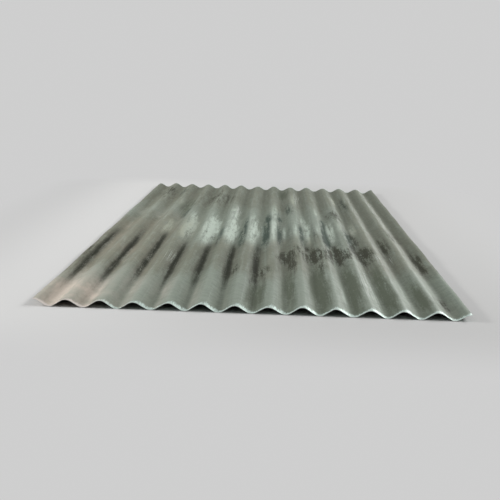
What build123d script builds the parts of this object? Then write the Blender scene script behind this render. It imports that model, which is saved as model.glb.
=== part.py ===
"""Corrugated galvanised roofing sheet, one piece, roll-formed from flat steel coil.

The sheet lies flat, as it would on a level floor. It rests on the undersides of its valleys, at z = 0.
Its length runs along Y and its corrugations repeat along X. The origin is under the middle of the sheet.
All sizes are in millimetres.
"""

import os
from math import cos, radians, sin

from build123d import *

# The corrugation, as the rolls form it
pitch = 76.2  # crest to crest, 3 in
depth = 18.0  # overall, from the underside of a valley to the top of a crest
thickness = 0.4  # 28 gauge
flank_slope = 34.0  # degrees, of the straight flank between a crest's bend and a valley's

# The sheet, as it is cut and sold
corrugations = 13  # whole waves, so both long edges finish at the top of a crest
length = 3000.0

overall_width = corrugations * pitch

# From a crest to the next valley the steel takes a bend, a straight flank and an equal bend the other way.
# These have to drop by the depth in half a pitch. With the slope given, that leaves one radius and one flank.
half_pitch = pitch / 2
middle_depth = depth - thickness
slope = radians(flank_slope)
middle_bend_radius = (half_pitch * sin(slope) - middle_depth * cos(slope)) / (2 * (1 - cos(slope)))
flank_length = (half_pitch - 2 * middle_bend_radius * sin(slope)) / cos(slope)

inside_bend_radius = middle_bend_radius - thickness / 2
outside_bend_radius = middle_bend_radius + thickness / 2


def wave_underside():
    """Draws the underside of the sheet's section, from the left edge to the right, into the open BuildLine."""
    left_edge = (-overall_width / 2, depth - thickness)

    crest = JernArc(left_edge, (1, 0), inside_bend_radius, -flank_slope)
    for wave in range(corrugations):
        falling_flank = PolarLine(crest @ 1, flank_length, -flank_slope)
        valley = JernArc(falling_flank @ 1, falling_flank % 1, outside_bend_radius, 2 * flank_slope)
        rising_flank = PolarLine(valley @ 1, flank_length, flank_slope)
        reaches_right_edge = wave == corrugations - 1
        crest_turn = flank_slope if reaches_right_edge else 2 * flank_slope
        crest = JernArc(rising_flank @ 1, rising_flank % 1, inside_bend_radius, -crest_turn)


with BuildPart() as corrugated_sheet:
    # The section looks along the sheet. The steel is laid on the upper side of its underside.
    with BuildSketch(Plane.XZ):
        with BuildLine():
            wave_underside()
            offset(amount=thickness, side=Side.LEFT)
        make_face()
    extrude(amount=length / 2, both=True)

corrugated_sheet.part.label = "corrugated_sheet"

os.makedirs("parts", exist_ok=True)
export_step(corrugated_sheet.part, "parts/corrugated_sheet.step")

flat_width = corrugations * (4 * middle_bend_radius * slope + 2 * flank_length)
print("overall width", round(overall_width, 1), "flat width of the steel", round(flat_width, 1))
print("inside bend radius", round(inside_bend_radius, 2), "flank length", round(flank_length, 2))
print("volume in cm3", round(corrugated_sheet.part.volume / 1000, 1))
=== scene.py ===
# %% [markdown]
# # A corrugated galvanised roofing sheet
#
# This lesson finishes one roofing sheet, three metres long and thirteen waves wide. The real sheet is
# a single strip of zinc-coated steel, 0.4 mm thick, that a row of rolls has bent into waves. The packed
# model already holds its exact size, so the lesson starts by loading that as a fixed frame, and every
# number below is in metres in the same frame: X across the waves, Y along them, Z up, floor at zero.

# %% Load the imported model
import math
import random

import bpy
import numpy as np
from mathutils import Euler, Matrix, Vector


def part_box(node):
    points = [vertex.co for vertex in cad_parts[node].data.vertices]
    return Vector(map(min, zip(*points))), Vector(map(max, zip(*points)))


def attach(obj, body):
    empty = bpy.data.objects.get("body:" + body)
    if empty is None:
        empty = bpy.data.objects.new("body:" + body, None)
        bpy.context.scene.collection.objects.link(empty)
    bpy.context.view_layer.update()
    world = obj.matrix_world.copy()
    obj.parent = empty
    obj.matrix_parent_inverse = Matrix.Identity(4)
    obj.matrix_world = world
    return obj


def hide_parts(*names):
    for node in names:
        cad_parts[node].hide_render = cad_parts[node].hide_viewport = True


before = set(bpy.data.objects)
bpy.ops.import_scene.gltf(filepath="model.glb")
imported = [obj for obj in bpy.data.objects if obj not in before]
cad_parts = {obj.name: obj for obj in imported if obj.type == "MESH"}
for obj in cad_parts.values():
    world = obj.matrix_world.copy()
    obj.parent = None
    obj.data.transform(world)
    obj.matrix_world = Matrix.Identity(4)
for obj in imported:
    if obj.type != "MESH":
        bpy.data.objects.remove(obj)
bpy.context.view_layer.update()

# %% [markdown]
# ## The section of the sheet
#
# Seen from its end, the sheet is a line of one thickness. From a crest to the next valley the steel
# takes a bend, a straight flank and an equal bend the other way, always running smoothly into each
# other. That could be drawn as a sine curve, but rolls don't make one: a sine has no straight flank,
# and light shows the difference as soon as it runs along the wave. So the line is worked out from the
# flank's slope, which leaves one radius for all the bends.

# %% Sizes of one wave
sheet_low, sheet_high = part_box("corrugated_sheet")
sheet_width = sheet_high.x - sheet_low.x
sheet_length = sheet_high.y - sheet_low.y
sheet_depth = sheet_high.z - sheet_low.z

waves = 13
steel_thickness = 0.0004
flank_slope = math.radians(34)

half_pitch = sheet_width / waves / 2
middle_drop = sheet_depth - steel_thickness
bend_radius = (half_pitch * math.sin(flank_slope) - middle_drop * math.cos(flank_slope)) / (
    2 * (1 - math.cos(flank_slope))
)
flank_run = (half_pitch - 2 * bend_radius * math.sin(flank_slope)) / math.cos(flank_slope)
half_flat = 2 * bend_radius * flank_slope + flank_run
flat_width = 2 * waves * half_flat
print(f"bend radius {bend_radius * 1000:.2f} mm, flank {flank_run * 1000:.2f} mm")
print(f"flat width {flat_width:.4f} m")

# %% Walk down half a wave, then mirror it
bend_steps = 4
flank_steps = 3


def half_wave():
    """The steel's middle line from a crest down to just before the valley.

    Each point is its place across, its drop from the crest, its slope and the steel used up to it.
    """
    points = []
    for step in range(bend_steps):
        turn = flank_slope * step / bend_steps
        across = bend_radius * math.sin(turn)
        drop = bend_radius * (1 - math.cos(turn))
        points.append((across, drop, turn, bend_radius * turn))
    bend_across = bend_radius * math.sin(flank_slope)
    bend_drop = bend_radius * (1 - math.cos(flank_slope))
    for step in range(flank_steps):
        run = flank_run * step / flank_steps
        across = bend_across + run * math.cos(flank_slope)
        drop = bend_drop + run * math.sin(flank_slope)
        points.append((across, drop, flank_slope, bend_radius * flank_slope + run))
    for step in range(bend_steps):
        turn = flank_slope * (1 - step / bend_steps)
        across = half_pitch - bend_radius * math.sin(turn)
        drop = middle_drop - bend_radius * (1 - math.cos(turn))
        points.append((across, drop, turn, half_flat - bend_radius * turn))
    return points


falling = half_wave()
valley = (half_pitch, middle_drop, 0.0, half_flat)
rising = [
    (2 * half_pitch - across, drop, -slope, 2 * half_flat - used)
    for across, drop, slope, used in reversed(falling[1:])
]
one_wave = falling + [valley] + rising
print(len(one_wave), "points to a wave")

# %% Line the waves up
section = []
for wave in range(waves):
    for across, drop, slope, used in one_wave:
        section.append((wave * 2 * half_pitch + across, drop, slope, wave * 2 * half_flat + used))
section.append((sheet_width, 0.0, 0.0, flat_width))

across_line, drop_line, slope_line, flat_line = (np.array(values) for values in zip(*section))
across_line += sheet_low.x
rise_line = steel_thickness / 2 + middle_drop - drop_line
crest_line = 1 - drop_line / middle_drop
columns = len(section)
print(columns, "columns across, steel from", across_line[0], "to", across_line[-1])

# %% [markdown]
# ## How a real sheet differs from its drawing
#
# A sheet that has been carried, loaded and dragged isn't perfect. Its waves wander sideways by a
# fraction of a millimetre, its crests are pressed a little flatter where weight has lain on them, its
# free edges ripple, and its sheared ends are knocked. This could be a displacement texture, but then
# the exported mesh would stay perfect, so the points themselves move. In height every change goes
# inward, a crest down or a valley up, so the sheet stays as deep as its frame. The sideways wander
# leaves it by about half a millimetre.

# %% Stations along the sheet
end_zone = 0.09
end_rows = 9
middle_rows = 146

end_part = np.linspace(0, end_zone, end_rows, endpoint=False)
middle_part = np.linspace(end_zone, sheet_length - end_zone, middle_rows, endpoint=False)
along_line = np.concatenate([end_part, middle_part, sheet_length - np.append(end_part, end_zone)[::-1]])
along_line += sheet_low.y
rows = len(along_line)
along, across = np.meshgrid(along_line, across_line, indexing="ij")
crest = np.tile(crest_line, (rows, 1))
rise = np.tile(rise_line, (rows, 1))
from_end = np.minimum(along - sheet_low.y, sheet_high.y - along)
print(rows, "rows,", (rows - 1) * (columns - 1) * 4, "triangles on the two faces")

# %% A gentle unevenness, made of a few long waves
dice = random.Random(7)


def unevenness(across_lengths, along_lengths, wave_count=6):
    """A smooth field over the sheet, between about -1 and 1.

    It is a sum of sine waves with lengths drawn from the two given ranges, in metres.
    """
    field = np.zeros_like(along)
    for _ in range(wave_count):
        turn_across = math.tau / dice.uniform(*across_lengths) * dice.choice((-1, 1))
        turn_along = math.tau / dice.uniform(*along_lengths)
        field += np.sin(turn_across * across + turn_along * along + dice.uniform(0, math.tau))
    return field / math.sqrt(wave_count)


wander_size, press_size, lift_size = 0.0005, 0.0005, 0.0004
sideways = wander_size * unevenness((0.3, 0.9), (0.7, 2.2))
pressed = press_size * (1 + unevenness((0.08, 0.4), (0.25, 0.9)))
lifted = lift_size * (1 + unevenness((0.1, 0.5), (0.4, 1.3)))
pressed, lifted = np.clip(pressed, 0, None), np.clip(lifted, 0, None)
print("crests pressed by up to", round(pressed.max() * 1000, 2), "mm")
print("valleys lifted by up to", round(lifted.max() * 1000, 2), "mm")

# %% Free edges that ripple, and knocked ends
edge_reach = 0.030
least_droop, ripple_droop = 0.0008, 0.0024
from_side = np.minimum(across - sheet_low.x, sheet_high.x - across)
near_edge = np.clip(1 - from_side / edge_reach, 0, 1) ** 2
ripple = 0.5 + 0.5 * unevenness((2.0, 4.0), (0.35, 1.1))
edge_droop = near_edge * (least_droop + ripple_droop * np.clip(ripple, 0, 1.4))
print("edges droop by up to", round(edge_droop.max() * 1000, 2), "mm")

knock_reach, knock_size = 0.045, 0.0016
near_end = np.exp(-((from_end / knock_reach) ** 2))
knock = np.clip(unevenness((0.09, 0.35), (2.0, 5.0)) + 0.2, 0, 1.6)
end_knock = near_end * knock * knock_size
print("ends are knocked down by up to", round(end_knock.max() * 1000, 2), "mm")

# %% Dents from handling
dents = [
    # across, along, half width, half length, depth
    (-0.342, -1.36, 0.016, 0.055, 0.0030),
    (-0.190, -0.62, 0.014, 0.045, 0.0022),
    (0.038, -0.95, 0.016, 0.060, 0.0026),
    (0.266, -1.18, 0.015, 0.050, 0.0028),
    (0.343, 0.30, 0.016, 0.070, 0.0032),
    (-0.038, 0.55, 0.015, 0.050, 0.0022),
    (-0.419, 0.90, 0.018, 0.080, 0.0038),
    (0.191, 1.22, 0.015, 0.045, 0.0026),
]
dent_depth = np.zeros_like(along)
for dent_across, dent_along, half_width, half_length, depth in dents:
    reach = ((across - dent_across) / half_width) ** 2 + ((along - dent_along) / half_length) ** 2
    dent_depth += depth * np.exp(-reach)
print(len(dents), "dents, the deepest", round(dent_depth.max() * 1000, 2), "mm")

# %% [markdown]
# ## From a line to steel with two faces
#
# The moved points are the middle of the steel. Its upper and lower face lie half a thickness to each
# side, square to the surface. A Solidify modifier could do that, but worked out here it keeps the
# thickness exact, and the four cut edges become faces of their own that can take a different finish.

# %% The middle of the steel, then its two faces
middle = np.stack(
    [
        across + sideways,
        along,
        rise + lifted * (1 - crest) - (pressed + end_knock + dent_depth) * crest - edge_droop,
    ],
    axis=-1,
)
to_right = np.gradient(middle, axis=1)
to_back = np.gradient(middle, axis=0)
upward = np.cross(to_right, to_back)
upward /= np.linalg.norm(upward, axis=-1, keepdims=True)

top = middle + upward * steel_thickness / 2
under = middle - upward * steel_thickness / 2
resting = under[..., 2].min()
top[..., 2] -= resting
under[..., 2] -= resting
print("thickness", steel_thickness, "lowest", under[..., 2].min(), "highest", top[..., 2].max())

# %% Join the points with faces
count = rows * columns  # points of one face of the sheet


def grid_faces(first, flip):
    """Four-cornered faces over a grid of points that starts at index first."""
    row, column = np.meshgrid(np.arange(rows - 1), np.arange(columns - 1), indexing="ij")
    corner = first + row * columns + column
    ring = [corner, corner + 1, corner + columns + 1, corner + columns]
    return np.stack(ring[::-1] if flip else ring, axis=-1).reshape(-1, 4)


def rim_faces(line):
    """Faces of a cut edge along a line of upper points. Their lower partners are count points on."""
    line = np.asarray(line)
    return np.stack([line[:-1], line[:-1] + count, line[1:] + count, line[1:]], axis=-1)


index = np.arange(count).reshape(rows, columns)
rim_lines = (index[0], index[:, -1], index[-1, ::-1], index[::-1, 0])
rims = np.concatenate([rim_faces(line) for line in rim_lines])
faces = np.concatenate([grid_faces(0, False), grid_faces(count, True), rims])
points = np.concatenate([top.reshape(-1, 3), under.reshape(-1, 3)])

mesh = bpy.data.meshes.new("corrugated_sheet_finished")
mesh.from_pydata(points.tolist(), [], faces.tolist())
print(len(points), "points,", len(faces), "faces,", len(faces) * 2, "triangles")

# %% Smooth faces, crisp cut edges
is_rim = np.zeros(len(faces), bool)
is_rim[-len(rims):] = True
mesh.polygons.foreach_set("use_smooth", np.ones(len(faces), bool))
mesh.polygons.foreach_set("material_index", is_rim.astype(np.int32))

edge_ends = np.zeros(len(mesh.edges) * 2, np.int32)
mesh.edges.foreach_get("vertices", edge_ends)
edge_ends = edge_ends.reshape(-1, 2)
on_border = np.zeros(count * 2, bool)
for line in rim_lines:
    on_border[line] = True
    on_border[line + count] = True
crisp = on_border[edge_ends].all(axis=1)
mesh.edges.foreach_set("use_edge_sharp", crisp)
mesh.validate()
mesh.update()
print(int(crisp.sum()), "crisp edges,", int(is_rim.sum()), "faces on the cut edges")

# %% [markdown]
# ## Where the finish can find itself
#
# The zinc was on the steel before it was bent, so its crystals follow the flat strip, not the wave.
# Object coordinates would be less work, but they are measured level, so every texture would be drawn
# out down the flanks. A UV map in metres of flat steel gives each texture its place on the strip.

# %% A map of the flat strip, and one for baking
flat = np.tile(flat_line, (rows, 1)).ravel()
length_used = (along - sheet_low.y).ravel()
under_offset = flat_width + 0.2  # so that the lower face doesn't repeat the marks of the upper one
flat_places = np.stack(
    [np.concatenate([flat, flat + under_offset]), np.concatenate([length_used, length_used])], axis=-1
)
corner_points = np.zeros(len(mesh.loops), np.int32)
mesh.loops.foreach_get("vertex_index", corner_points)
flat_map = mesh.uv_layers.new(name="flat_strip")
flat_map.data.foreach_set("uv", flat_places[corner_points].astype(np.float32).ravel())

# Each finish can be baked onto a picture along this map. Here the upper face takes more of it than the lower
# one, and the thin cut edges get a strip at its side.
top_share, under_start, under_share = 0.62, 0.635, 0.315
margin = 0.004
flat_share = flat / flat_width
bake_across = np.concatenate([flat_share * top_share, under_start + flat_share * under_share])
bake_along = np.tile(length_used / sheet_length, 2) * (1 - 2 * margin)
bake_places = np.stack([bake_across + margin, bake_along + margin], axis=-1)
bake_corners = bake_places[corner_points]
print("flat strip map covers", flat_places.max(axis=0))

# %% Give the cut edges their own strip of the bake
rim_start = 0.962
rim_step = 0.009
rim_width = rim_step * 0.6
corner = (len(faces) - len(rims)) * 4
for side, line in enumerate(rim_lines):
    travelled = np.linspace(0.01, 0.99, len(line))
    left = rim_start + side * rim_step
    right = left + rim_width
    for start, end in zip(travelled[:-1], travelled[1:]):
        bake_corners[corner:corner + 4] = [(left, start), (right, start), (right, end), (left, end)]
        corner += 4
bake_map = mesh.uv_layers.new(name="OFBake")
bake_map.data.foreach_set("uv", bake_corners.astype(np.float32).ravel())
mesh.uv_layers.active = flat_map
print(len(rims), "cut-edge faces placed, map runs to", bake_corners.max(axis=0))

# %% [markdown]
# ## Where the sheet is dirty, and where light and shade are painted
#
# Dirt on a used sheet is never even. Pale dust has blown over the left side of this one, and near the front
# left it is made paler still by painted light. Rain has stood in its valleys and left dark lines where it
# dried, olive stains near one end, and brown grime further in; all three are partly painted shade. At about
# half its length a chalky bloom has grown in streaks along the waves, with dark oxide beside it, both partly
# painted reflection. A sooty film dulls whole stretches, and at the right and over the far half it is
# painted shade. Lists of soft spots say where, as one number a point, and noise in the material breaks up
# their outlines later. Painted masks could do the same, but a list is easier to read and change.

# %% Helpers for soft spots
def ramp(values, start, end):
    """Runs smoothly from 0 to 1 while the values go from start to end."""
    share = np.clip((values - start) / (end - start), 0, 1)
    return share * share * (3 - 2 * share)


def soft_spots(places):
    """The strongest, at each point, of some soft ellipses.

    Each is given as across, along, half width, half length and strength.
    """
    field = np.zeros_like(along)
    for spot_across, spot_along, half_width, half_length, strength in places:
        reach = ((across - spot_across) / half_width) ** 2 + ((along - spot_along) / half_length) ** 2
        field = np.maximum(field, strength * np.exp(-reach))
    return field


print("helpers for soft spots: ramp, soft_spots")

# %% Olive stains and brown grime, both partly painted shade
# The six stains near the front lie on valleys and on flanks that face left, away from the key: they are partly
# stain and partly painted shade. The two far ones are stains.
olive_stain_and_painted_shade = soft_spots([
    (0.007, -1.30, 0.025, 0.17, 0.90),
    (0.088, -1.20, 0.020, 0.30, 0.65),
    (0.163, -1.16, 0.024, 0.36, 1.00),
    (0.247, -1.16, 0.021, 0.38, 0.85),
    (0.326, -1.20, 0.021, 0.34, 0.85),
    (0.403, -1.26, 0.018, 0.28, 0.75),
    (-0.300, 0.62, 0.030, 0.30, 0.60),
    (0.075, 1.22, 0.030, 0.26, 0.65),
])
# The spots right of the middle and along the right edge are partly grime and partly painted shade.
grime_and_painted_shade = soft_spots([
    (0.086, -0.66, 0.028, 0.12, 1.20),
    (0.098, -0.82, 0.016, 0.16, 0.60),
    (0.116, -0.52, 0.016, 0.08, 0.60),
    (0.166, -0.63, 0.032, 0.13, 1.30),
    (0.150, -0.47, 0.016, 0.10, 0.70),
    (0.178, -0.84, 0.016, 0.14, 0.55),
    (0.234, -0.58, 0.030, 0.18, 1.35),
    (0.262, -0.62, 0.018, 0.12, 0.70),
    (0.314, -0.58, 0.032, 0.18, 0.95),
    (0.128, -0.58, 0.024, 0.06, 0.55),
    (0.202, -0.57, 0.024, 0.07, 0.60),
    (0.276, -0.56, 0.022, 0.08, 0.50),
    (-0.488, -0.66, 0.010, 0.46, 0.48),
    (0.296, -0.40, 0.016, 0.14, 0.60),
    (0.012, -0.95, 0.026, 0.10, 0.75),
    (-0.062, -0.92, 0.022, 0.09, 0.60),
    (0.100, -0.94, 0.020, 0.16, 0.30),
    (0.000, -1.10, 0.030, 0.04, 0.45),
    (0.450, -1.33, 0.030, 0.13, 0.45),
    (0.390, -0.40, 0.020, 0.24, 0.70),
    (0.310, -0.24, 0.018, 0.20, 0.55),
    (0.464, -0.66, 0.018, 0.26, 0.75),
    (0.440, -0.16, 0.026, 0.18, 0.50),
    (-0.190, 0.98, 0.090, 0.36, 0.45),
    (-0.420, 1.10, 0.040, 0.28, 0.50),
    (0.270, 0.42, 0.036, 0.20, 0.55),
])
print("olive stain up to", round(olive_stain_and_painted_shade.max(), 2), "brown grime up to", round(grime_and_painted_shade.max(), 2))

# %% Chalky bloom and painted reflection, in streaks along the waves
# The streaks near the middle lie on flanks that face right: partly bloom, partly painted reflection. The faint
# ones near the front are a painted highlight on the lit flanks. The far ones are bloom.
bloom_and_painted_reflection = soft_spots([
    (-0.318, -0.02, 0.018, 0.20, 0.80),
    (-0.245, -0.06, 0.022, 0.30, 1.05),
    (-0.169, -0.08, 0.023, 0.36, 1.30),
    (-0.098, -0.12, 0.021, 0.36, 1.10),
    (-0.027, -0.14, 0.017, 0.36, 0.95),
    (-0.006, -0.10, 0.016, 0.24, 0.55),
    (0.043, -0.10, 0.011, 0.34, 0.90),
    (0.079, -0.12, 0.009, 0.24, 0.55),
    (0.117, -0.14, 0.010, 0.26, 0.60),
    (0.157, -0.06, 0.012, 0.30, 0.95),
    (0.194, -0.08, 0.009, 0.18, 0.50),
    (0.238, -0.04, 0.012, 0.26, 0.95),
    (0.270, 0.00, 0.010, 0.16, 0.55),
    (0.317, 0.02, 0.011, 0.18, 0.80),
    (0.142, -1.24, 0.011, 0.30, 0.28),
    (0.219, -1.24, 0.011, 0.34, 0.32),
    (0.295, -1.26, 0.011, 0.34, 0.32),
    (0.371, -1.28, 0.011, 0.32, 0.32),
    (-0.250, 0.20, 0.013, 0.20, 0.80),
    (-0.173, 0.26, 0.010, 0.14, 0.55),
    (-0.105, 0.36, 0.013, 0.26, 0.85),
    (-0.034, 0.18, 0.012, 0.20, 0.60),
    (0.044, 0.42, 0.011, 0.30, 0.75),
    (0.150, 0.24, 0.010, 0.24, 0.65),
    (0.201, 0.46, 0.010, 0.16, 0.45),
    (-0.332, 0.74, 0.012, 0.20, 0.50),
    (0.120, 0.90, 0.013, 0.24, 0.60),
    (0.290, 1.00, 0.013, 0.20, 0.60),
    (-0.180, 1.16, 0.012, 0.16, 0.45),
])
print("bloom up to", round(bloom_and_painted_reflection.max(), 2))

# %% Dark oxide beside the bloom, partly painted dark reflection
# These dark streaks on flanks that face left are partly oxide and partly a painted dark reflection.
oxide_and_painted_dark_reflection = soft_spots([
    (0.130, -0.16, 0.150, 0.24, 0.36),
    (-0.060, -0.12, 0.100, 0.24, 0.30),
    (-0.130, -0.22, 0.016, 0.26, 0.60),
    (-0.057, -0.20, 0.017, 0.30, 0.90),
    (0.019, -0.16, 0.017, 0.30, 1.20),
    (0.064, -0.13, 0.011, 0.26, 1.20),
    (0.138, -0.16, 0.011, 0.26, 1.10),
    (0.216, -0.20, 0.013, 0.28, 1.40),
    (0.292, -0.24, 0.018, 0.28, 1.00),
    (-0.285, 0.40, 0.017, 0.26, 0.55),
    (0.100, 0.58, 0.017, 0.24, 0.60),
    (0.326, 0.80, 0.017, 0.30, 0.55),
    (0.022, 0.22, 0.014, 0.18, 0.90),
    (-0.056, 0.12, 0.012, 0.16, 0.70),
    (0.062, 0.26, 0.010, 0.20, 0.80),
    (0.218, 0.14, 0.011, 0.16, 0.90),
    (-0.360, 1.16, 0.018, 0.22, 0.55),
])
print("oxide up to", round(oxide_and_painted_dark_reflection.max(), 2))

# %% Scuffs
scuffed = soft_spots([
    (0.349, -0.71, 0.009, 0.10, 1.0),
    (0.387, -0.62, 0.009, 0.08, 1.0),
    (0.299, -0.88, 0.012, 0.10, 0.8),
    (0.286, -1.16, 0.016, 0.16, 0.7),
    (-0.250, -0.78, 0.016, 0.10, 0.7),
    (-0.100, 0.40, 0.016, 0.22, 0.8),
    (0.135, 1.02, 0.018, 0.16, 0.8),
])
print("scuffs up to", round(scuffed.max(), 2))

# %% Dust, most of it at the left, with painted light at the front left
lean = np.tile(np.sin(slope_line), (rows, 1))
left_faces = np.clip(-lean / math.sin(flank_slope), 0, 1)
thin_everywhere = 0.22
more_at_left = (0.80 - 0.45 * ramp(along, -0.4, 1.0)) * ramp(across, -0.02, -0.42)
pale_dust_and_light = thin_everywhere + more_at_left
# Near the front, and left of the middle, flanks that face left are made paler still: painted light from the
# left.
front_left_painted_light = ramp(along, -0.8, -1.3) * ramp(across, 0.06, -0.14) * ramp(across, -0.36, -0.24)
pale_dust_and_light += 0.50 * left_faces * front_left_painted_light
# The soft spot at the front left corner is a painted pool of warm light; the one at the front right is dust.
pale_dust_and_light += soft_spots([(-0.450, -1.43, 0.110, 0.26, 1.00), (0.440, -1.42, 0.050, 0.14, 0.30)])
print("dust from", round(pale_dust_and_light.min(), 2), "to", round(pale_dust_and_light.max(), 2))


# %% A sooty film and painted shade, in bands that start at an uneven line
def band(places, middle, reach):
    """1 in the middle of a band along the sheet, 0 outside it, with a short fade between."""
    return np.exp(-(((places - middle) / reach) ** 4))


wander = along + 0.06 * np.sin(23 * across + 1.0) + 0.04 * np.sin(61 * across)
wider = ramp(across, -0.02, 0.08)
middle_band = ramp(across, 0.34, 0.10) * band(wander, -0.74 + 0.10 * wider, 0.32 + 0.10 * wider)
left_band = ramp(across, -0.14, -0.32) * band(wander, -0.36, 0.68)
# The band at the right and the darker far half are painted shade.
right_painted_shade = ramp(across, 0.20, 0.36) * ramp(wander, -1.15, -0.80)
far_half_painted_shade = 0.9 * ramp(along, 0.1, 1.0)
film_and_painted_shade = np.maximum(np.maximum(middle_band, left_band), np.maximum(right_painted_shade, far_half_painted_shade))
print("film up to", round(film_and_painted_shade.max(), 2))

# %% Dried lines beside the valleys, partly painted shade
pitch = 2 * half_pitch
from_valley = (across - sheet_low.x) % pitch - half_pitch
# The line moves from the left of each valley, at the left edge, into the valley near the middle, as the shade
# does: it is partly a dried line and partly painted shade.
line_shift = -0.003 - 0.0065 * ramp(across, -0.20, -0.40) - 0.006 * ramp(across, -0.42, -0.45)
longer_line = ramp(across, -0.24, -0.32)
line_middle = -0.78 + 0.14 * longer_line
line_reach = 0.36 + 0.13 * longer_line
line_width = 0.0100 + 0.0025 * ramp(across, -0.30, -0.20)
dried_line_and_painted_shade = np.exp(-(((from_valley - line_shift) / line_width) ** 2))
dried_line_and_painted_shade *= 0.30 * ramp(along, 0.2, -0.6) + 0.70 * band(along, line_middle, line_reach)
dried_line_and_painted_shade *= 1 - 0.85 * ramp(across, -0.02, 0.06)  # hardly any at the right
print("dried lines up to", round(dried_line_and_painted_shade.max(), 2))

# %% How far each point is from the rubbed ends
far_end_factor = 2.2  # the far end is rubbed that much less far
rubbed_less = 1 + 0.8 * ramp(across, -0.15, -0.42)
end_distance = rubbed_less * np.minimum(along - sheet_low.y, far_end_factor * (sheet_high.y - along))
print("the left corner is rubbed", round(rubbed_less.max(), 1), "times less far than the right one")

# %% Write the numbers on the points
measures = {
    "crest_height": crest,
    "lean": lean,
    "end_distance": end_distance,
    "pale_dust_and_light": pale_dust_and_light,
    "dried_line_and_painted_shade": dried_line_and_painted_shade,
    "olive_stain_and_painted_shade": olive_stain_and_painted_shade,
    "grime_and_painted_shade": grime_and_painted_shade,
    "bloom_and_painted_reflection": bloom_and_painted_reflection,
    "film_and_painted_shade": film_and_painted_shade,
    "scuffed": scuffed,
    "oxide_and_painted_dark_reflection": oxide_and_painted_dark_reflection,
}
for name, values in measures.items():
    layer = mesh.attributes.new(name, "FLOAT", "POINT")
    layer.data.foreach_set("value", np.tile(values.ravel(), 2).astype(np.float32))
print("numbers on each point:", ", ".join(measures))

# %% Put the sheet in the scene in place of its plain CAD node
sheet = bpy.data.objects.new("roofing_sheet", mesh)
bpy.context.scene.collection.objects.link(sheet)
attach(sheet, "root")
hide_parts("corrugated_sheet")

# %% [markdown]
# ## Small helpers for node trees
#
# A finish is a tree of small nodes. Written out in full, each takes several lines. A few helpers keep the
# cells below short: one adds a node and feeds its inputs, with a plain value or with another node's
# output, and the others do the same for arithmetic, noise, mixing, groups and materials.

# %% Helpers
def add(tree, kind, feeds=None, **settings):
    """Adds a node, sets its options, then links or writes each input that feeds names."""
    made = tree.nodes.new(kind)
    for name, value in settings.items():
        setattr(made, name, value)
    for name, value in (feeds or {}).items():
        if isinstance(value, bpy.types.NodeSocket):
            tree.links.new(value, made.inputs[name])
        else:
            made.inputs[name].default_value = value
    return made


def maths(tree, operation, first, second=0.5, third=0.0, clamp=False):
    """Output of one arithmetic node."""
    feeds = {0: first, 1: second, 2: third}
    return add(tree, "ShaderNodeMath", feeds, operation=operation, use_clamp=clamp).outputs[0]


def times(tree, first, second, clamp=False):
    """Product of two numbers."""
    return maths(tree, "MULTIPLY", first, second, clamp=clamp)


def plus_times(tree, start, mask, change, clamp=False):
    """A start value that changes by so much where the mask is 1."""
    return maths(tree, "MULTIPLY_ADD", mask, change, start, clamp=clamp)


def fade(tree, value, start, end, low=0.0, high=1.0):
    """Runs smoothly from low to high while value goes from start to end."""
    feeds = {"Value": value, "From Min": start, "From Max": end, "To Min": low, "To Max": high}
    return add(tree, "ShaderNodeMapRange", feeds, interpolation_type="SMOOTHSTEP").outputs["Result"]


def blend(tree, share, first, second, kind="MIX"):
    """Mixes two colours, which are inputs 6 and 7 of the node."""
    feeds = {0: share, 6: first, 7: second}
    return add(tree, "ShaderNodeMix", feeds, data_type="RGBA", blend_type=kind).outputs[2]


print("helpers for nodes: add, maths, times, plus_times, fade, blend")


# %% Helpers for noise, for groups and for materials
def stretch(tree, place, scales):
    """Scales a place along each axis. A noise read there is squeezed where the scale is large."""
    return add(tree, "ShaderNodeVectorMath", {0: place, 1: scales}, operation="MULTIPLY").outputs[0]


def noise(tree, place, detail, roughness=0.5, scale=1.0):
    """Value of a noise texture, between 0 and 1 and mostly near a half."""
    feeds = {"Vector": place, "Scale": scale, "Detail": detail, "Roughness": roughness}
    return add(tree, "ShaderNodeTexNoise", feeds).outputs["Fac"]


def new_group(name, inputs, outputs):
    """A shader node group with named sockets.

    Returns the group, its inputs as seen inside, and the sockets it puts out.
    """
    group = bpy.data.node_groups.new(name, "ShaderNodeTree")
    for title, kind, value in inputs:
        socket = group.interface.new_socket(title, in_out="INPUT", socket_type=kind)
        if value is not None:
            socket.default_value = value
    for title, kind in outputs:
        group.interface.new_socket(title, in_out="OUTPUT", socket_type=kind)
    entry = group.nodes.new("NodeGroupInput").outputs
    leave = group.nodes.new("NodeGroupOutput").inputs
    print("group", name, "puts out", [title for title, _ in outputs])
    return group, entry, leave


def use_group(tree, group, **feeds):
    """Places a group in a tree. An underscore in a name stands for a space."""
    named = {name.replace("_", " "): value for name, value in feeds.items()}
    return add(tree, "ShaderNodeGroup", named, node_tree=group).outputs


def new_material(name):
    """A material with an empty node tree. Returns both."""
    material = bpy.data.materials.new(name)
    material.use_nodes = True
    material.node_tree.nodes.clear()
    print("material", name)
    return material, material.node_tree


def show(tree, shader):
    """Puts a shader out as the surface of its material."""
    add(tree, "ShaderNodeOutputMaterial", {"Surface": shader.outputs[0]})


print("helpers for noise, groups and materials: stretch, noise, new_group, use_group, new_material, show")

# %% [markdown]
# ## Zinc spangle
#
# Hot zinc freezes on the steel as flat crystals of about a centimetre, each with feathery branches that
# run its own way. A picture of zinc could be laid over the sheet, but it would repeat along three metres
# and blur close up. Instead a Voronoi texture gives the crystals, and a stretched noise, turned by a
# different angle in each of them, gives the feathers. Fresh spangle sparkles, but on a dull sheet it is
# only a faint change of tone and gloss.

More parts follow.
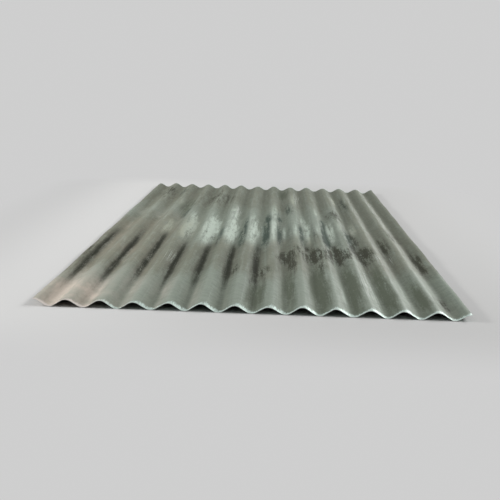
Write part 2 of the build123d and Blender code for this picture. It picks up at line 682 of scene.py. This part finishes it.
# %% Group: zinc spangle
spangle, given, out = new_group(
    "zinc_spangle",
    [("Vector", "NodeSocketVector", None), ("Crystal Size", "NodeSocketFloat", 0.010)],
    [("Shade", "NodeSocketFloat"), ("Gloss", "NodeSocketFloat"), ("Height", "NodeSocketFloat")],
)
per_metre = maths(spangle, "DIVIDE", 1.0, given["Crystal Size"])
sized = {0: given["Vector"], "Scale": per_metre}
places = add(spangle, "ShaderNodeVectorMath", sized, operation="SCALE").outputs[0]
wobble = add(spangle, "ShaderNodeTexNoise", {"Vector": places, "Scale": 1.6, "Detail": 2.0}).outputs["Color"]
wobbled = {0: wobble, 1: (0.7, 0.7, 0.7), 2: places}
bent = add(spangle, "ShaderNodeVectorMath", wobbled, operation="MULTIPLY_ADD").outputs[0]
cells = add(spangle, "ShaderNodeTexVoronoi", {"Vector": bent, "Scale": 1.0}, voronoi_dimensions="2D")
kinds = add(spangle, "ShaderNodeSeparateColor", {"Color": cells.outputs["Color"]}).outputs
angled = {"Vector": bent, "Angle": times(spangle, kinds["Blue"], math.tau)}
turned = add(spangle, "ShaderNodeVectorRotate", angled, rotation_type="Z_AXIS").outputs[0]
feathers = noise(spangle, stretch(spangle, turned, (1.1, 9.0, 1.0)), detail=3.0)
shade = plus_times(spangle, times(spangle, feathers, 0.4), kinds["Red"], 0.6)
spangle.links.new(shade, out["Shade"])
spangle.links.new(kinds["Green"], out["Gloss"])
spangle.links.new(feathers, out["Height"])
print("zinc spangle has", len(spangle.nodes), "nodes")

# %% [markdown]
# ## Marks of rolling and sliding
#
# The rolls, and everything that has slid over the sheet since, leave fine lines along the waves, mostly
# on the crests, which carry the load. As grooves in the mesh they would need points a tenth of a
# millimetre apart. A noise that is squeezed across the sheet and drawn out along it needs none, and it
# fades out and starts again as real marks do.

# %% Group: sliding marks
sliding, given, out = new_group(
    "sliding_marks",
    [("Vector", "NodeSocketVector", None), ("Crest", "NodeSocketFloat", 1.0)],
    [("Mask", "NodeSocketFloat"), ("Height", "NodeSocketFloat")],
)
lines = noise(sliding, stretch(sliding, given["Vector"], (420.0, 3.2, 1.0)), detail=4.0)
broad_lines = noise(sliding, stretch(sliding, given["Vector"], (70.0, 1.1, 1.0)), detail=3.0)
hair_lines = noise(sliding, stretch(sliding, given["Vector"], (1500.0, 9.0, 1.0)), detail=3.0)
fine_marks, hair_marks = fade(sliding, lines, 0.58, 0.66), fade(sliding, hair_lines, 0.60, 0.68)
scratches = maths(sliding, "MAXIMUM", fine_marks, hair_marks)
broad_marks = fade(sliding, broad_lines, 0.45, 0.70)
on_crests = fade(sliding, given["Crest"], 0.35, 0.95, 0.25, 1.0)
mask = times(sliding, plus_times(sliding, scratches, broad_marks, 0.6), on_crests, clamp=True)
sliding.links.new(mask, out["Mask"])
sliding.links.new(lines, out["Height"])
print("sliding marks have", len(sliding.nodes), "nodes")

# %% [markdown]
# ## Dust
#
# The sheet has lain outdoors for months. Fine pale dust covers it thinly, more in the valleys than on
# the crests, in soft patches broken up by a fine grain. It could be scattered as real grains, but from
# any distance only its tone and its dullness show, so a mask does. The group puts out that mask and the
# grain, and each material decides what they do to its colour, its gloss and its relief.

# %% Group: settled dust
dust, given, out = new_group(
    "settled_dust",
    [
        ("Vector", "NodeSocketVector", None),
        ("Crest", "NodeSocketFloat", 0.5),
        ("Amount", "NodeSocketFloat", 0.5),
    ],
    [("Mask", "NodeSocketFloat"), ("Grain", "NodeSocketFloat")],
)
patches = noise(dust, given["Vector"], detail=5.0, roughness=0.62, scale=3.2)
clumps = noise(dust, stretch(dust, given["Vector"], (60.0, 14.0, 1.0)), detail=4.0, roughness=0.6)
grain = noise(dust, given["Vector"], detail=2.0, scale=700.0)
in_valleys = fade(dust, given["Crest"], 0.0, 0.9, 1.0, 0.62)
soft = times(dust, fade(dust, patches, 0.30, 0.68, 0.35, 1.0), in_valleys)
broken = times(dust, soft, fade(dust, clumps, 0.25, 0.70, 0.70, 1.12))
cover = times(dust, broken, given["Amount"], clamp=True)
dust.links.new(cover, out["Mask"])
dust.links.new(grain, out["Grain"])
print("settled dust has", len(dust.nodes), "nodes")

# %% [markdown]
# ## The finish of the two faces
#
# Weathered zinc is a dull grey with a green cast, a third of it metal and the rest oxide. From the metal
# up come spangle, a duller tone on the flanks and valleys that is partly unrubbed zinc and partly painted
# shade, and sliding marks. Over them lie dust with painted light at the front left, dark oxide and chalky
# bloom that are partly painted reflection, the sooty film with painted shade in it, olive stains, brown
# grime and dried lines that are partly painted shade, and specks. Scuffs go through all of that, and so
# does a bright strip at both ends, where the sheet has been dragged along, which is partly a painted
# highlight.
#
# Each layer could have a shader of its own, mixed over the last. One Principled shader that gets a mixed
# colour, metal share and roughness renders faster and bakes onto one set of pictures. Dirt, and the
# painted shade that lies in the same masks, makes it duller and rougher, and rubbing makes it brighter.

# %% Material: dull galvanised steel
galvanised, tree = new_material("galvanised_steel_dull")
strip = add(tree, "ShaderNodeUVMap", uv_map="flat_strip").outputs[0]
on_sheet = {
    name: add(tree, "ShaderNodeAttribute", attribute_name=name).outputs["Fac"] for name in measures
}
crest_here = on_sheet["crest_height"]
crystals = use_group(tree, spangle, Vector=strip, Crystal_Size=0.011)
marks = use_group(tree, sliding, Vector=strip, Crest=crest_here)
dusty = use_group(tree, dust, Vector=strip, Crest=crest_here, Amount=on_sheet["pale_dust_and_light"])
print("galvanised steel reads", len(on_sheet), "numbers from the mesh")

# %% Bare zinc, rubbed and unrubbed, with painted shade in the valleys
dark_zinc, pale_zinc = (0.161, 0.198, 0.158, 1), (0.218, 0.262, 0.211, 1)
rubbed_zinc = (0.306, 0.356, 0.297, 1)
unrubbed_shade_share = (0.80, 0.80, 0.76, 1)
zinc = blend(tree, fade(tree, crystals["Shade"], 0.2, 0.8), dark_zinc, pale_zinc)
# Flanks and valleys are darker: partly zinc that nothing rubs, partly painted shade.
unrubbed_and_shaded = fade(tree, crest_here, 0.80, 0.25)
zinc = blend(tree, unrubbed_and_shaded, zinc, blend(tree, 1.0, zinc, unrubbed_shade_share, "MULTIPLY"))
crest_top = fade(tree, crest_here, 0.70, 1.0, 0.0, 0.55)
rubbed = maths(tree, "MAXIMUM", crest_top, times(tree, marks["Mask"], 0.5))
zinc = blend(tree, rubbed, zinc, rubbed_zinc)
print("zinc tones", dark_zinc[:3], pale_zinc[:3])

# %% Noise that tears outlines, and specks
streaks = noise(tree, stretch(tree, strip, (75.0, 3.5, 1.0)), detail=4.0, roughness=0.6)
blotches = noise(tree, stretch(tree, strip, (44.0, 11.0, 1.0)), detail=5.0, roughness=0.65)
fine = noise(tree, stretch(tree, strip, (420.0, 45.0, 1.0)), detail=4.0, roughness=0.65)
ragged = plus_times(tree, times(tree, blotches, 0.25), streaks, 0.45)
ragged = plus_times(tree, ragged, fine, 0.30)

specks = noise(tree, strip, detail=3.0, roughness=0.7, scale=260.0)
dark_specks = times(tree, fade(tree, specks, 0.665, 0.72), 0.70)
pale_specks = times(tree, fade(tree, specks, 0.335, 0.28), 0.55)
print("three noises tear the outlines, one gives the specks")


# %% Covers of dirt and of painted light and shade, with torn outlines
def patchy(amount, start, end, torn=6.0):
    """Turns a soft spot into a cover that is full in the middle.

    It breaks up towards the outline, more so if torn is larger.
    """
    broken = times(tree, amount, plus_times(tree, 1 - torn / 2, ragged, torn))
    return fade(tree, broken, start, end)


oxide_reflection_cover = times(tree, patchy(on_sheet["oxide_and_painted_dark_reflection"], 0.0, 1.0, torn=10.0), 0.92)
bloom_reflection_cover = times(tree, patchy(on_sheet["bloom_and_painted_reflection"], 0.05, 1.00, torn=9.0), 0.85)
film_shade_cover = patchy(on_sheet["film_and_painted_shade"], 0.0, 1.1)
stain_shade_cover = times(tree, patchy(on_sheet["olive_stain_and_painted_shade"], 0.0, 0.75), 0.9)
grime_shade_cover = times(tree, patchy(on_sheet["grime_and_painted_shade"], 0.12, 0.95, torn=12.0), 0.95)
scuff = times(tree, on_sheet["scuffed"], fade(tree, marks["Height"], 0.54, 0.62), clamp=True)

# Half of a dried line, which is partly painted shade, is one unbroken tone, so that it never tears right
# through.
dried_shade_cover = times(tree, on_sheet["dried_line_and_painted_shade"], fade(tree, ragged, 0.30, 0.52, 0.35, 1.0))
dried_shade_cover = plus_times(tree, times(tree, dried_shade_cover, 0.5), patchy(on_sheet["dried_line_and_painted_shade"], 0.10, 1.00), 0.5)
print("seven covers made,", len(tree.nodes), "nodes so far")

# %% Dust over the zinc
cool_dust, pale_grey, warm_dust_lit_tone = (0.238, 0.258, 0.218, 1), (0.400, 0.405, 0.352, 1), (0.600, 0.536, 0.463, 1)
grain_share = (0.80, 0.79, 0.77, 1)
paleness = fade(tree, on_sheet["pale_dust_and_light"], 0.35, 1.00)
# Where the number passes 1, at the front left, the warm tone is painted light.
warm_light_and_dust = fade(tree, on_sheet["pale_dust_and_light"], 1.00, 1.70)
dust_colour = blend(tree, warm_light_and_dust, blend(tree, paleness, cool_dust, pale_grey), warm_dust_lit_tone)
grainy = fade(tree, dusty["Grain"], 0.30, 0.70)
dust_colour = blend(tree, grainy, dust_colour, blend(tree, 1.0, dust_colour, grain_share, "MULTIPLY"))
covered = blend(tree, dusty["Mask"], zinc, dust_colour)
print("dust tones", cool_dust[:3], pale_grey[:3], warm_dust_lit_tone[:3])

# %% The other covers, from the lowest up
# The pale chalk tone is partly a painted reflection, and the dark green partly a painted dark reflection.
dark_green, chalk_and_reflection_tone = (0.028, 0.049, 0.037, 1), (0.565, 0.655, 0.570, 1)
film_shade_share = (0.72, 0.67, 0.61, 1)
upper_covers = (
    (stain_shade_cover, (0.096, 0.113, 0.080, 1)),
    (grime_shade_cover, (0.034, 0.036, 0.022, 1)),
    (dried_shade_cover, (0.012, 0.014, 0.006, 1)),
    (dark_specks, (0.060, 0.052, 0.040, 1)),
    (pale_specks, (0.480, 0.520, 0.480, 1)),
    (scuff, (0.620, 0.660, 0.620, 1)),
)
for mask, colour in ((oxide_reflection_cover, dark_green), (bloom_reflection_cover, chalk_and_reflection_tone)):
    covered = blend(tree, mask, covered, colour)
covered = blend(tree, film_shade_cover, covered, blend(tree, 1.0, covered, film_shade_share, "MULTIPLY"))
for mask, colour in upper_covers:
    covered = blend(tree, mask, covered, colour)
print(3 + len(upper_covers), "covers lie over the dust")

# %% Rubbed ends, with a painted highlight
rubbed_dark, rubbed_and_lit_bright = (0.455, 0.560, 0.510, 1), (0.685, 0.840, 0.780, 1)
rubbed_warm_and_lit = (0.760, 0.665, 0.620, 1)
least_reach, most_reach = 0.020, 0.046

drag_lines = noise(tree, stretch(tree, strip, (1100.0, 26.0, 1.0)), detail=5.0, roughness=0.7)
# The strip reaches further on flanks that face right, towards the key: that part is a painted highlight, the
# rest rubbed zinc.
rubbed_and_lit_reach = fade(tree, on_sheet["lean"], -0.5, 0.5, least_reach, most_reach)
inward = maths(tree, "DIVIDE", on_sheet["end_distance"], rubbed_and_lit_reach)
left_over = plus_times(tree, plus_times(tree, drag_lines, streaks, 0.5), inward, -0.36)
rubbed_end_and_highlight = fade(tree, left_over, 0.42, 0.60)
end_tone = blend(tree, fade(tree, drag_lines, 0.38, 0.60), rubbed_dark, rubbed_and_lit_bright)
end_tone = blend(tree, times(tree, warm_light_and_dust, 0.85), end_tone, rubbed_warm_and_lit)
covered = blend(tree, times(tree, rubbed_end_and_highlight, 0.92), covered, end_tone)
print("ends rubbed over about", least_reach * 1000, "to", most_reach * 1000, "mm")

# %% How shiny and how rough
# The stains, grime, dried lines and oxide hold painted shade too, and they make those places duller as well.
stains_and_shade = maths(tree, "MAXIMUM", stain_shade_cover, grime_shade_cover)
dirt_and_shade = maths(tree, "MAXIMUM", stains_and_shade, maths(tree, "MAXIMUM", dried_shade_cover, dusty["Mask"]))
dirt_and_shade = times(tree, maths(tree, "MAXIMUM", dirt_and_shade, oxide_reflection_cover), maths(tree, "SUBTRACT", 1.0, rubbed_end_and_highlight))
metallic = plus_times(tree, plus_times(tree, 0.32, dirt_and_shade, -0.30), rubbed_end_and_highlight, 0.30, clamp=True)
rough = plus_times(tree, 0.50, crystals["Gloss"], 0.06)
rough = plus_times(tree, rough, dirt_and_shade, 0.20)
rough = plus_times(tree, rough, rubbed_end_and_highlight, -0.10)
rough = plus_times(tree, rough, marks["Mask"], -0.06, clamp=True)

relief = plus_times(tree, times(tree, crystals["Height"], 0.3), marks["Height"], 0.5)
relief = plus_times(tree, relief, times(tree, dusty["Grain"], dusty["Mask"]), 0.6)
bump = add(tree, "ShaderNodeBump", {"Height": relief, "Strength": 0.3, "Distance": 0.0002}).outputs[0]

face_feeds = {"Base Color": covered, "Metallic": metallic, "Roughness": rough, "Normal": bump}
face_feeds["Specular IOR Level"] = 0.1
show(tree, add(tree, "ShaderNodeBsdfPrincipled", face_feeds))
mesh.materials.append(galvanised)
print("faces wear", galvanised.name, "with", len(tree.nodes), "nodes")

# %% [markdown]
# ## The sheared edge
#
# Shears leave a bright line of bare steel with zinc smeared over it. It is only 0.4 mm wide, but it
# catches the light along the whole end, and with the finish of the faces that line would be lost. So the
# cut edges get a brighter metal of their own. The same spangle and dust groups, with other values, keep
# it akin to the faces.

# %% Material: sheared edge
sheared, tree = new_material("sheared_edge")
bare_steel, smeared_zinc, edge_dirt = (0.42, 0.42, 0.40, 1), (0.68, 0.71, 0.67, 1), (0.40, 0.37, 0.31, 1)
strip = add(tree, "ShaderNodeUVMap", uv_map="flat_strip").outputs[0]
smear = use_group(tree, spangle, Vector=strip, Crystal_Size=0.003)
edge_dust = use_group(tree, dust, Vector=strip, Crest=0.9, Amount=0.5)
edge_colour = blend(tree, smear["Shade"], bare_steel, smeared_zinc)
edge_colour = blend(tree, edge_dust["Mask"], edge_colour, edge_dirt)
edge_rough = plus_times(tree, 0.34, smear["Gloss"], 0.2)
edge_metal = plus_times(tree, 0.8, edge_dust["Mask"], -0.6, clamp=True)
bump_feeds = {"Height": smear["Height"], "Strength": 0.3, "Distance": 0.0001}
edge_bump = add(tree, "ShaderNodeBump", bump_feeds).outputs[0]
edge_feeds = {"Base Color": edge_colour, "Metallic": edge_metal, "Roughness": edge_rough, "Normal": edge_bump}
show(tree, add(tree, "ShaderNodeBsdfPrincipled", edge_feeds))
mesh.materials.append(sheared)
print("cut edges wear", sheared.name)

# %% [markdown]
# ## Floor
#
# The sheet lies unheld on a plain pale floor. A studio's curved backdrop would hide the horizon from one
# side only, and the sheet is looked at from every side. So the floor is a very wide disc, a hair below
# the sheet so that the two never share a plane. Near the sheet it is ordinary paint that takes light and
# shadow. Further off, where the camera or a reflection looks at it, it fades into the tone of the
# surroundings.

# %% Which rays see the backdrop
backdrop_tone = 0.62
floor_tone = 0.645


def seen_directly(tree):
    """1 for rays from the camera, or by way of a reflection or glass, and 0 for the ones that light things."""
    path = add(tree, "ShaderNodeLightPath").outputs
    looking = maths(tree, "ADD", path["Is Camera Ray"], path["Is Glossy Ray"])
    return maths(tree, "ADD", looking, path["Is Transmission Ray"], clamp=True)


print("backdrop tone", backdrop_tone)

# %% Floor
floor_radius = 60.0
floor_gap = 0.0003
corner_count = 96
floor_mesh = bpy.data.meshes.new("studio_floor")
turns = [math.tau * corner / corner_count for corner in range(corner_count)]
ring = [(floor_radius * math.cos(turn), floor_radius * math.sin(turn), -floor_gap) for turn in turns]
floor_mesh.from_pydata(ring, [], [tuple(range(corner_count))])
floor = bpy.data.objects.new("studio_floor", floor_mesh)
bpy.context.scene.collection.objects.link(floor)

print("floor radius", floor_radius)

# %% Floor paint
fade_start, fade_end = 0.04, 0.55
floor_paint, tree = new_material("pale_floor")
paint = add(tree, "ShaderNodeBsdfDiffuse", {"Color": (floor_tone, floor_tone, floor_tone * 0.99, 1)})
far_colour = (backdrop_tone, backdrop_tone, backdrop_tone, 1)
far_tone = add(tree, "ShaderNodeEmission", {"Color": far_colour, "Strength": 1.0})

spot = add(tree, "ShaderNodeTexCoord").outputs["Object"]
mirrored = add(tree, "ShaderNodeVectorMath", {0: spot}, operation="ABSOLUTE").outputs[0]
past_edges = {0: mirrored, 1: (sheet_width / 2, sheet_length / 2, 0)}
beside = add(tree, "ShaderNodeVectorMath", past_edges, operation="SUBTRACT").outputs[0]
beside = add(tree, "ShaderNodeVectorMath", {0: beside, 1: (0, 0, 0)}, operation="MAXIMUM").outputs[0]
from_sheet = add(tree, "ShaderNodeVectorMath", {0: beside}, operation="LENGTH").outputs["Value"]

share = times(tree, fade(tree, from_sheet, fade_start, fade_end), seen_directly(tree))
show(tree, add(tree, "ShaderNodeMixShader", {0: share, 1: paint.outputs[0], 2: far_tone.outputs[0]}))
floor_mesh.materials.append(floor_paint)
print("floor turns into backdrop between", fade_start, "and", fade_end, "m from the sheet")

# %% [markdown]
# ## Light
#
# Waves only read well when light comes from the sides. A lamp straight above would be simpler, but it
# lights both flanks of a wave alike, and the sheet would look flat. The key is a long soft lamp on the
# right, well above the sheet. A low strip beyond the left edge, with a narrow spread, lights the flanks
# that turn away from the key. A small lamp far behind on the right skims the sheet and brings out its sheen.
# The pale surroundings fill the rest. Together they reach a plain level, at which a colour looks about
# as it is written.

# %% Surroundings
scene = bpy.context.scene
scene.world = bpy.data.worlds.new("studio_surroundings")
scene.world.use_nodes = True
tree = scene.world.node_tree
fill_strength = 0.28
background = tree.nodes["Background"]
background.inputs["Color"].default_value = (1, 1, 1, 1)
strength = plus_times(tree, fill_strength, seen_directly(tree), backdrop_tone - fill_strength)
tree.links.new(strength, background.inputs["Strength"])
print("fill", fill_strength)


# %% Lamps
def soft_lamp(name, place, aim, size, watts, spread=180):
    """A rectangular lamp that the camera doesn't see itself. Its light keeps within the spread, in degrees."""
    light = bpy.data.lights.new(name, "AREA")
    light.shape = "RECTANGLE"
    light.size, light.size_y = size
    light.energy = watts
    light.spread = math.radians(spread)
    lamp = bpy.data.objects.new(name, light)
    scene.collection.objects.link(lamp)
    lamp.location = place
    ahead = np.array(aim) - np.array(place)
    dip = math.atan2(math.hypot(ahead[0], ahead[1]), -ahead[2])
    lamp.rotation_euler = (dip, 0, math.atan2(ahead[1], ahead[0]) - math.pi / 2)
    lamp.visible_camera = False
    print(name, watts, "W at", place)


soft_lamp("key_right", (2.6, 0.0, 2.2), (0.1, 0.0, 0.0), (6.0, 1.2), 102)
soft_lamp("strip_left", (-1.5, 0.0, 0.65), (-0.35, 0.0, 0.0), (5.5, 0.3), 9.6, spread=50)
soft_lamp("sheen_behind", (2.0, 3.6, 0.7), (0.2, -0.5, 0.0), (1.8, 0.9), 22)

# %% [markdown]
# ## Camera
#
# The camera stands where the photograph was taken, some way in front of the sheet's near end and half a
# metre above it, turned slightly so that the sheet's right side hangs lower in the picture. The place
# and the turn were found by matching the crests at both ends of the sheet. Only the lens is longer, so
# that the sheet fills the picture without any change in its perspective.

# %% Camera
camera_data = bpy.data.cameras.new("photographer")
camera_data.sensor_width = 36.0
camera_data.lens = 87.19
camera_data.clip_start, camera_data.clip_end = 0.05, 200.0
camera = bpy.data.objects.new("photographer", camera_data)
scene.collection.objects.link(camera)
looks_down, looks_left, tilt = math.radians(8.196), math.radians(1.063), math.radians(1.896)
turn = Euler((math.pi / 2 - looks_down, 0, looks_left)).to_matrix() @ Matrix.Rotation(tilt, 3, "Z")
camera.rotation_euler = turn.to_euler()
camera.location = (0.0411, -4.1703, 0.5293)
bpy.context.scene.camera = camera
print("camera at", tuple(camera.location), "lens", camera_data.lens, "mm")

# %% [markdown]
# ## View
#
# Colours are shown as they are, with the Standard view.

# %% View settings
scene.view_settings.view_transform = "Standard"
